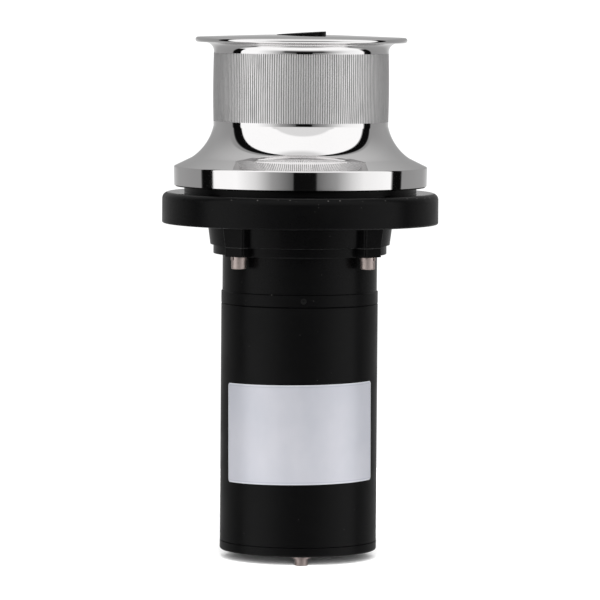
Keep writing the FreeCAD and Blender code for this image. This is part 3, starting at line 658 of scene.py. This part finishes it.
@dataclass
class SubAssembly:
    """What every sub-assembly does with its pieces."""

    body: Body

    def piece(self, name: str, shape: bmesh.types.BMesh, finish: Finish, slot: Slot) -> bpy.types.Object:
        """Makes a new piece that rides on the sub-assembly's body.

        Args:
            name: The piece's name.
            shape: Its mesh, which is freed.
            finish: Its finish.
            slot: The record's slot that the finish belongs to; not used.

        Returns:
            The piece.
        """
        mesh = bpy.data.meshes.new(name)
        shape.to_mesh(mesh)
        shape.free()
        mesh.shade_smooth()
        mesh.set_sharp_from_angle(angle=math.radians(32))
        made = bpy.data.objects.new(name, mesh)
        bpy.context.scene.collection.objects.link(made)
        made.data.materials.append(finish.material())
        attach(made, self.body.value)
        log.info("%s: %d faces on %s", name, len(mesh.polygons), self.body.value)
        return made


def dress(finish: Finish, *nodes: str) -> None:
    """Gives CAD nodes a finish.

    Args:
        finish: The finish.
        nodes: The nodes' names.
    """
    for name in nodes:
        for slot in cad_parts[name].material_slots:
            slot.material = finish.material()
    log.info("%s: %s", finish.name, ", ".join(nodes))


def reach(name: str) -> tuple[float, float]:
    """The lowest and the highest place of a CAD node.

    Args:
        name: The node's name.

    Returns:
        Both heights in metres, in the node's own coordinates.
    """
    heights = [corner[2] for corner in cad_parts[name].bound_box]
    return min(heights), max(heights)


@dataclass
class RopeDrum(SubAssembly):
    """The stainless drum: flange, ribbed waist, flare and skirt. Sizes in millimetres."""

    body: Body = Body.DRUM
    flange_r: float = 71.5
    flange_top: float = 125.6
    flange_thick: float = 3.5
    crown_r: float = 27.0
    crown_z: float = 127.1
    waist_end_r: float = 59.0
    waist_mid_r: float = 59.4
    waist_low: float = 66.0
    waist_top: float = 115.9
    neck_fillet: float = 6.0
    skirt_r: float = 85.6
    skirt_low: float = 24.9
    skirt_top: float = 37.68
    corner_r: float = 1.2
    flare_lean: float = 64.0
    flare_cone: float = 12.0
    flare_pull: float = 2.0
    flare_lead: tuple[float, float] = (2.8, 14.0)
    wall: float = 4.0
    hub_r: float = 19.0
    hub_low: float = 80.0
    hub_top: float = 112.0
    bore_r: float = 9.97
    recess_r: float = 15.0
    web_fillet: float = 6.0
    band_low: float = 68.9
    band_top: float = 115.0
    band_sink: float = 0.5
    ribs: int = 230
    groove_depth: float = 0.15
    groove_share: float = 0.6
    steps_per_rib: int = 10
    turn_steps: int = 288

    def waist_radius(self, height: float) -> float:
        """The barrel-shaped waist's radius at a height."""
        middle = (self.waist_low + self.waist_top) / 2
        half = (self.waist_top - self.waist_low) / 2
        return self.waist_mid_r - (self.waist_mid_r - self.waist_end_r) * ((height - middle) / half) ** 2

    def outline(self) -> Profile:
        """The drum's closed outline, sunk a little under the ribbed band."""
        lean = math.radians(self.flare_lean)
        upward = Vector((-math.sin(lean), math.cos(lean)))
        corner = Vector((self.skirt_r - self.corner_r, self.skirt_top))
        cone_low = corner + Vector((math.cos(lean), math.sin(lean))) * self.corner_r
        cone_top = cone_low + upward * self.flare_cone
        lead = Vector((self.flare_lead[0], -self.flare_lead[1]))
        waist_foot = Vector((self.waist_end_r, self.waist_low))
        neck_r = self.waist_end_r + self.neck_fillet
        inner_r = self.waist_end_r - self.wall
        inner_skirt_r = self.skirt_r - self.wall
        inner_low = Vector((inner_skirt_r - 2.0, self.skirt_top))
        inner_top = inner_low + upward * self.flare_cone
        inner_foot = Vector((inner_r, self.waist_low - 2.0))
        rim_r = self.flange_thick / 2
        rim_low = self.flange_top - self.flange_thick
        web_z = rim_low - 1.5
        web_r = self.web_fillet
        edge = Profile(inner_skirt_r, self.skirt_low)
        edge.line((self.skirt_r - 1.2, self.skirt_low), (self.skirt_r - 0.3, self.skirt_low + 0.9))
        edge.line((self.skirt_r, self.skirt_top))
        edge.arc(corner, self.flare_lean, 8)
        edge.line(tuple(cone_top))
        edge.bezier(cone_top + upward * self.flare_pull, waist_foot + lead, waist_foot, 48)
        edge.line(
            (self.waist_radius(self.band_low), self.band_low),
            (self.waist_radius(self.band_low) - self.band_sink, self.band_low + 0.2),
            (self.waist_radius(self.band_top) - self.band_sink, self.band_top - 0.2),
            (self.waist_radius(self.band_top), self.band_top),
            (self.waist_end_r, self.waist_top),
        )
        edge.arc(Vector((neck_r, self.waist_top)), -90, 14)
        edge.line((self.flange_r - rim_r, rim_low))
        edge.arc(Vector((self.flange_r - rim_r, rim_low + rim_r)), 180, 12)
        edge.line((self.crown_r, self.crown_z), (self.recess_r, self.crown_z))
        edge.line((self.recess_r, self.hub_top), (self.bore_r, self.hub_top), (self.bore_r, self.hub_low))
        edge.line((self.hub_r - 1, self.hub_low), (self.hub_r, self.hub_low + 1), (self.hub_r, web_z - web_r))
        edge.arc(Vector((self.hub_r + web_r, web_z - web_r)), -90, 6)
        edge.line((inner_r - web_r, web_z))
        edge.arc(Vector((inner_r - web_r, web_z - web_r)), -90, 6)
        edge.line(tuple(inner_foot))
        edge.bezier(inner_foot + lead, inner_top + upward * self.flare_pull, inner_top, 16)
        edge.line(tuple(inner_low), (inner_skirt_r, self.skirt_top - 3))
        return edge

    def shell(self) -> bpy.types.Object:
        """The polished drum itself."""
        shape = self.outline().spun(self.turn_steps)
        steel = MirrorSteel("polished_steel")
        made = self.piece("polished_drum", shape, steel, Slot.POLISHED_STAINLESS)
        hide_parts("drum")
        return made

    def ribbed_band(self) -> bpy.types.Object:
        """The straight-knurled band round the waist."""
        heights = [self.band_low, self.band_low + 0.35, self.band_low + 1.0]
        heights += [self.band_low + 1.0 + (self.band_top - self.band_low - 2.0) * k / 5 for k in range(1, 6)]
        heights += [self.band_top - 0.35, self.band_top]
        back = self.band_sink + 0.4
        band = Profile(self.waist_radius(heights[0]) - back, heights[0])
        band.line(*[(self.waist_radius(z), z) for z in heights])
        band.line((self.waist_radius(heights[-1]) - back, heights[-1]))
        shape = band.spun(self.ribs * self.steps_per_rib)
        for vert in shape.verts:
            radius = math.hypot(vert.co.x, vert.co.y) / MM
            height = vert.co.z / MM
            if radius < self.waist_radius(height) - back / 2:
                continue
            turn = math.atan2(vert.co.y, vert.co.x) * self.ribs / FULL_TURN
            fade = min(1.0, (height - self.band_low) / 0.9, (self.band_top - height) / 0.9)
            vert.co.xy *= (radius - self.groove(turn) * max(fade, 0.0)) / radius
        bmesh.ops.recalc_face_normals(shape, faces=shape.faces)
        finish = RibbedSteel("ribbed_steel", self.ribs, self.groove_share)
        return self.piece("ribbed_band", shape, finish, Slot.POLISHED_STAINLESS)

    def groove(self, turn: float) -> float:
        """How deep the rounded groove between two flat-topped ribs is.

        Args:
            turn: The place round the band, in ribs.

        Returns:
            The depth in millimetres.
        """
        across = abs(turn % 1.0 - 0.5) / (self.groove_share / 2)
        if across >= 1.0:
            return 0.0
        return self.groove_depth * (1 + math.cos(math.pi * across)) / 2

    def build(self) -> None:
        """Builds the drum and dresses what turns with it."""
        self.shell()
        self.ribbed_band()
        dress(BareMetal("bolt_steel"), "drum_bolt", "drum_washer")
        dress(BareMetal("ground_steel", (0.55, 0.55, 0.56), 0.2), "main_shaft", "drum_key", "bearing_spacer")
        dress(BareMetal("pin_steel", (0.55, 0.55, 0.56), 0.24), "output_pins", "output_clips")
        dress(BareMetal("thrust_bronze", (0.60, 0.38, 0.16), 0.3), "output_thrust_washer")


@dataclass
class MotorLabel(SubAssembly):
    """The pale plate wrapped on the motor's front. Sizes in millimetres and degrees."""

    body: Body = Body.HOUSING
    radius: float = 53.0
    thick: float = 0.2
    centre_turn: float = -91.5
    half_turn: float = 64.1
    tilt: float = 0.9
    top_z: float = -105.6
    low_z: float = -172.4
    corner_r: float = 2.0
    columns: int = 96

    def build(self) -> None:
        """Builds the label flat, rounds its corners, and bends it round the motor."""
        outer = (self.radius + self.thick) * MM
        half_width = math.radians(self.half_turn) * outer
        half_height = (self.top_z - self.low_z) / 2 * MM
        shape = bmesh.new()
        corners = bmesh.ops.create_grid(shape, x_segments=1, y_segments=1, size=1.0)["verts"]
        bmesh.ops.scale(shape, vec=(half_width, half_height, 1.0), verts=corners)
        bmesh.ops.bevel(
            shape,
            geom=corners,
            offset=self.corner_r * MM,
            affect="VERTICES",
            segments=6,
            profile=0.5,
            material=-1,
        )
        for column in range(1, self.columns):
            cut_x = half_width * (2 * column / self.columns - 1)
            parts = shape.verts[:] + shape.edges[:] + shape.faces[:]
            bmesh.ops.bisect_plane(shape, geom=parts, plane_co=(cut_x, 0, 0), plane_no=(1, 0, 0))
        middle_z = (self.top_z + self.low_z) / 2 * MM
        bmesh.ops.recalc_face_normals(shape, faces=shape.faces)
        if shape.faces[0].normal.z < 0:
            bmesh.ops.reverse_faces(shape, faces=shape.faces)
        bmesh.ops.solidify(shape, geom=shape.faces[:], thickness=self.thick * MM)
        tilted = Matrix.Rotation(math.radians(self.tilt), 3, "Z")
        bmesh.ops.rotate(shape, verts=shape.verts, cent=(0, 0, 0), matrix=tilted)
        for vert in shape.verts:
            turn = math.radians(self.centre_turn) + vert.co.x / outer
            reach = outer - (self.thick * MM if vert.co.z < -1e-7 else 0.0)
            height = middle_z + vert.co.y
            vert.co = Vector((math.cos(turn) * reach, math.sin(turn) * reach, height))
        bmesh.ops.recalc_face_normals(shape, faces=shape.faces)
        film = LabelFilm(
            "label_film",
            math.radians(self.centre_turn),
            math.radians(self.half_turn),
            self.low_z * MM,
            self.top_z * MM,
            outer,
            math.radians(self.tilt),
        )
        self.piece("motor_label", shape, film, Slot.BLACK_MOTOR)


@dataclass
class DeckHousing(SubAssembly):
    """The base disc, gear housing, motor and everything fixed to them. Sizes in millimetres."""

    body: Body = Body.HOUSING
    disc_top: float = 21.0
    chip_and_glint_edge: float = 1.6

    def build(self) -> None:
        """Dresses the fixed CAD nodes."""
        disc_top = self.disc_top * MM
        ring_low, ring_top = reach("motor_front_plate")
        # Pale specks on the disc's rounded top edge: partly wear, partly painted glints of the edge
        # highlight.
        edge = disc_top - self.chip_and_glint_edge * MM
        disc = BlackPaint("black_disc_coat", smooth_z=disc_top, chip_and_glint_z=(edge,))
        dress(disc, "deck_flange")
        dress(BlackPaint("black_casting_coat"), "gearbox_barrel")
        dress(BlackPaint("black_motor_coat", rough=0.36, shine=0.12), "motor_barrel", "motor_end_cap")
        # Pale specks along the ring's edges: partly wear, partly painted glints.
        dress(BlackPaint("black_ring_coat", rough=0.34, chip_and_glint_z=(ring_low, ring_top)), "motor_front_plate")
        screw = BareMetal("screw_steel", (0.62, 0.53, 0.50), 0.42, (0.40, 0.33, 0.30))
        dress(screw, "housing_screws", "spring_washers")
        bolt = BareMetal("through_bolt_steel", (0.50, 0.42, 0.40), 0.44, (0.34, 0.28, 0.26))
        dress(bolt, "through_bolts", "through_bolt_washers")
        dress(BareMetal("blackened_steel", (0.04, 0.04, 0.04), 0.35, (0.02, 0.02, 0.02)), "ring_screws")
        dress(DullSolid("gasket_fibre", (0.03, 0.03, 0.03), (0.06, 0.055, 0.05), 0.8), "housing_gasket")
        rubber = DullSolid("seal_rubber", (0.012, 0.012, 0.012), (0.02, 0.02, 0.02), 0.5)
        dress(rubber, "shaft_seal", "motor_oil_seal")
        dress(
            BareMetal("bearing_steel", (0.6, 0.6, 0.62), 0.15),
            "upper_bearing", "lower_bearing", "front_motor_bearing", "rear_motor_bearing", "bearing_circlip",
        )
        dress(BareMetal("ring_gear_steel", (0.42, 0.42, 0.43), 0.3), "ring_gear")


@dataclass
class Terminals(SubAssembly):
    """The two power terminals on the motor's back."""

    body: Body = Body.HOUSING

    def build(self) -> None:
        """Dresses the terminals."""
        brass = BareMetal("terminal_brass", (0.70, 0.50, 0.22), 0.22, (0.35, 0.22, 0.10))
        dress(brass, "terminal_studs", "terminal_washers", "terminal_nuts")
        plastic = DullSolid("terminal_bush_plastic", (0.01, 0.01, 0.01), (0.02, 0.02, 0.02), 0.45)
        dress(plastic, "terminal_bushes")


@dataclass
class InnerWorks(SubAssembly):
    """Gears, armature, magnets and brushes, which the housing hides."""

    body: Body = Body.HOUSING

    def build(self) -> None:
        """Dresses the inner CAD nodes."""
        gear = BareMetal("gear_steel", (0.45, 0.45, 0.46), 0.28)
        planets = [f"{stage}_planet_{k}" for stage in ("output", "first") for k in (1, 2, 3)]
        dress(gear, "first_carrier", *planets)
        ground = BareMetal("first_stage_steel", (0.55, 0.55, 0.56), 0.24)
        dress(ground, "first_pins", "first_clips", "motor_shaft")
        dress(BareMetal("first_thrust_bronze", (0.60, 0.38, 0.16), 0.3), "first_thrust_washer")
        dress(BareMetal("lamination_steel", (0.35, 0.35, 0.37), 0.4), "armature_core")
        dress(BareMetal("winding_copper", (0.62, 0.28, 0.13), 0.3), "armature_windings", "commutator")
        dress(DullSolid("magnet_ferrite", (0.05, 0.05, 0.055), (0.09, 0.09, 0.09), 0.6), "magnets")
        dress(DullSolid("insulating_board", (0.22, 0.12, 0.05), (0.30, 0.17, 0.08), 0.6), "brush_plate")
        dress(BareMetal("holder_brass", (0.66, 0.48, 0.22), 0.3), "brush_holders")
        dress(DullSolid("brush_carbon", (0.02, 0.02, 0.02), (0.05, 0.05, 0.05), 0.55), "brushes")
        dress(BareMetal("spring_steel", (0.5, 0.5, 0.5), 0.3), "brush_springs")


@dataclass
class TopCap(SubAssembly):
    """The black wedge cap in the drum's bolt recess."""

    body: Body = Body.CAP

    def build(self) -> None:
        """Dresses the cap."""
        dress(BlackPaint("cap_plastic", rough=0.26, shine=0.06, dust=0.0, scuff=0.0), "drum_cap")


@dataclass
class Studio:
    """Camera, plain pale floor and soft studio light. Distances in metres, angles in degrees."""

    azimuth: float = -3.0
    elevation: float = 3.9
    distance: float = 3.23
    roll: float = 0.42
    lens: float = 286.2
    target: Vector = Vector((0.0003, 0.0, -0.0521))
    floor_r: float = 0.6
    sky: float = 1.12
    floor_sun: float = 9.0
    floor_sun_height: float = 24.0
    floor_sun_spread: float = 50.0
    back_glow: float = 0.45
    back_lift: float = 0.3
    shelf_dark: float = 0.28
    zenith_dark: float = 0.34
    nadir_dark: float = 0.6
    bars: tuple[tuple[float, float], ...] = ((-101.6, -86.2), (91.2, 104.5))

    def facing(self) -> Vector:
        """The level direction from the object towards the camera."""
        turn = math.radians(self.azimuth)
        return Vector((math.sin(turn), -math.cos(turn), 0.0))

    def camera(self) -> None:
        """Stands the camera in front of the object, a little above it."""
        tilt = math.radians(self.elevation)
        back = self.facing() * math.cos(tilt) + Vector((0, 0, math.sin(tilt)))
        lens = bpy.data.cameras.new("camera")
        lens.lens = self.lens
        lens.sensor_width = 36.0
        lens.clip_start = 0.05
        lens.clip_end = 60.0
        made = bpy.data.objects.new("camera", lens)
        made.rotation_mode = "QUATERNION"
        made.location = self.target + back * self.distance
        roll = Quaternion((0, 0, 1), math.radians(self.roll))
        made.rotation_quaternion = (-back).to_track_quat("-Z", "Y") @ roll
        bpy.context.scene.collection.objects.link(made)
        bpy.context.scene.camera = made

    def floor(self) -> bpy.types.Object:
        """A round pale floor under the lowest point, which the object doesn't mirror."""
        shape = bmesh.new()
        bmesh.ops.create_circle(shape, cap_ends=True, segments=96, radius=self.floor_r)
        bmesh.ops.translate(shape, verts=shape.verts, vec=(0, 0, cad_box[0].z))
        mesh = bpy.data.meshes.new("floor")
        shape.to_mesh(mesh)
        shape.free()
        made = bpy.data.objects.new("floor", mesh)
        bpy.context.scene.collection.objects.link(made)
        made.data.materials.append(PaleFloor("pale_floor").material())
        made.visible_glossy = False
        return made

    def sky_light(self) -> None:
        """Soft light all round: a white booth with dark bars at its sides, and a grey room behind."""
        world = bpy.data.worlds.new("studio")
        world.use_nodes = True
        bpy.context.scene.world = world
        sheet = NodeSheet(world.node_tree)
        looking = sheet.add("ShaderNodeTexCoord", output="Generated")
        front = self.facing()
        side = Vector((-front.y, front.x, 0.0))
        degrees = 180 / math.pi
        turn = self.dot(sheet, looking, side).math("ARCTAN2", self.dot(sheet, looking, front)) * degrees
        height = sheet.split(looking)[2].math("ARCSINE") * degrees
        barred = self.round_ramp(sheet, turn, self.room_stops(self.bars))
        plain = self.round_ramp(sheet, turn, self.room_stops(()))
        room = sheet.blended(height.eased(-36, -30), plain, barred)
        glow = abs(turn).eased(142, 182) * height.eased(-4, 8, self.back_glow, 0.0)
        lift = abs(turn).eased(107, 112) * height.eased(16, 64, 0.0, self.back_lift)
        room = sheet.blended(glow + lift, room, WHITE)
        level = self.round_ramp(sheet, turn, self.level_stops())
        low = self.round_ramp(sheet, turn, self.low_stops())
        low = sheet.blended(height.eased(-44, -14, 1.0, 0.0), low, WHITE)
        inside = ((turn - 3.0) / 44) ** 2 + ((height - 6.0) / 36) ** 2
        shelf = inside.eased(0.75, 1.0, self.shelf_dark, 0.0)
        high = sheet.blended(shelf, WHITE, BLACK)
        centre = sheet.blended(height.eased(-5.8, -5.2), low, level)
        centre = sheet.blended(height.eased(3.5, 5.5), centre, high)
        poles = height.eased(71, 82) * self.zenith_dark + height.eased(-76, -64, self.nadir_dark, 0.0)
        shade = self.product(sheet, self.product(sheet, room, centre), sheet.blended(poles, WHITE, BLACK))
        seen = sheet.add("ShaderNodeLightPath", output="Is Camera Ray")
        shade = sheet.blended(seen, shade, WHITE)
        light = sheet.add("ShaderNodeBackground", sockets={"Color": shade, "Strength": self.sky})
        sheet.add("ShaderNodeOutputWorld", sockets={"Surface": light})

    @staticmethod
    def dot(sheet: NodeSheet, vector: Signal, other: Vector) -> Signal:
        """How far a vector goes along a fixed direction."""
        return sheet.add("ShaderNodeVectorMath", {"operation": "DOT_PRODUCT"}, {0: vector, 1: other}, "Value")

    @staticmethod
    def product(sheet: NodeSheet, first: Signal, second: Signal) -> Signal:
        """Two shades multiplied."""
        settings = {"data_type": "RGBA", "blend_type": "MULTIPLY"}
        return sheet.add("ShaderNodeMix", settings, {0: 1.0, 6: first, 7: second}, 2)

    @staticmethod
    def round_ramp(sheet: NodeSheet, turn: Signal, stops: list[tuple[float, float]]) -> Signal:
        """Shades by the turn from the camera's side, from -180 to 180 degrees."""
        places = [((angle + 180) / 360, shade) for angle, shade in stops]
        return sheet.add("ShaderNodeValToRGB", {"stops": places}, {"Fac": turn / 360 + 0.5})

    @staticmethod
    def room_stops(bars: tuple[tuple[float, float], ...]) -> list[tuple[float, float]]:
        """Shades of the booth and of the room behind it, with dark bars between some turns."""
        back = [(180, 0.32), (138, 0.31), (116, 0.28)]
        stops = [(-angle, shade) for angle, shade in back]
        for start, end in bars or ((-100.0, -92.0), (94.0, 102.0)):
            dark = 0.003 if bars else 0.6
            outer = 0.27 if bars else 0.28
            before, after = (outer, 1.0) if start < 0 else (1.0, outer)
            stops += [(start - 0.5, before), (start + 0.5, dark), (end - 0.5, dark), (end + 0.5, after)]
        return stops + back[::-1]

    @staticmethod
    def level_stops() -> list[tuple[float, float]]:
        """Shades round the camera's own side, at its height."""
        gap = [(-6.0, 0.004), (14.2, 0.004)]
        left = [(-60, 1.0), (-41, 0.70), (-26, 0.31), (-6.8, 0.10)]
        right = [(15.0, 0.13), (33, 0.31), (48, 0.67), (60, 0.88), (90, 1.0)]
        return left + gap + right

    @staticmethod
    def low_stops() -> list[tuple[float, float]]:
        """Shades below the camera's own side."""
        left = [(-60, 1.0), (-45, 0.74), (-27, 0.34)]
        gap = [(-21, 0.01), (28, 0.01)]
        right = [(43, 0.42), (66, 0.86), (90, 1.0)]
        return left + gap + right

    def floor_light(self, floor: bpy.types.Object) -> None:
        """A broad soft lamp from the camera's side that lights the floor alone.

        Args:
            floor: The floor.
        """
        lamp = bpy.data.lights.new("floor_light", "SUN")
        lamp.energy = self.floor_sun
        lamp.angle = math.radians(self.floor_sun_spread)
        made = bpy.data.objects.new("floor_light", lamp)
        tilt = math.radians(self.floor_sun_height)
        towards = self.facing() * math.cos(tilt) + Vector((0, 0, math.sin(tilt)))
        made.rotation_mode = "QUATERNION"
        made.rotation_quaternion = (-towards).to_track_quat("-Z", "Y")
        bpy.context.scene.collection.objects.link(made)
        lit = bpy.data.collections.new("lit_floor")
        lit.objects.link(floor)
        made.light_linking.receiver_collection = lit

    def build(self) -> None:
        """Sets up the whole studio."""
        self.camera()
        self.floor_light(self.floor())
        self.sky_light()
        settings = bpy.context.scene.view_settings
        settings.view_transform = "Standard"
        settings.look = "None"


def main() -> None:
    """Builds every sub-assembly in order, then the studio."""
    logging.basicConfig(level=logging.INFO, format="%(name)s: %(message)s")
    for part in (RopeDrum(), TopCap(), DeckHousing(), MotorLabel(), Terminals(), InnerWorks(), Studio()):
        log.info("building %s", type(part).__name__)
        part.build()


if __name__ == "__main__":
    main()
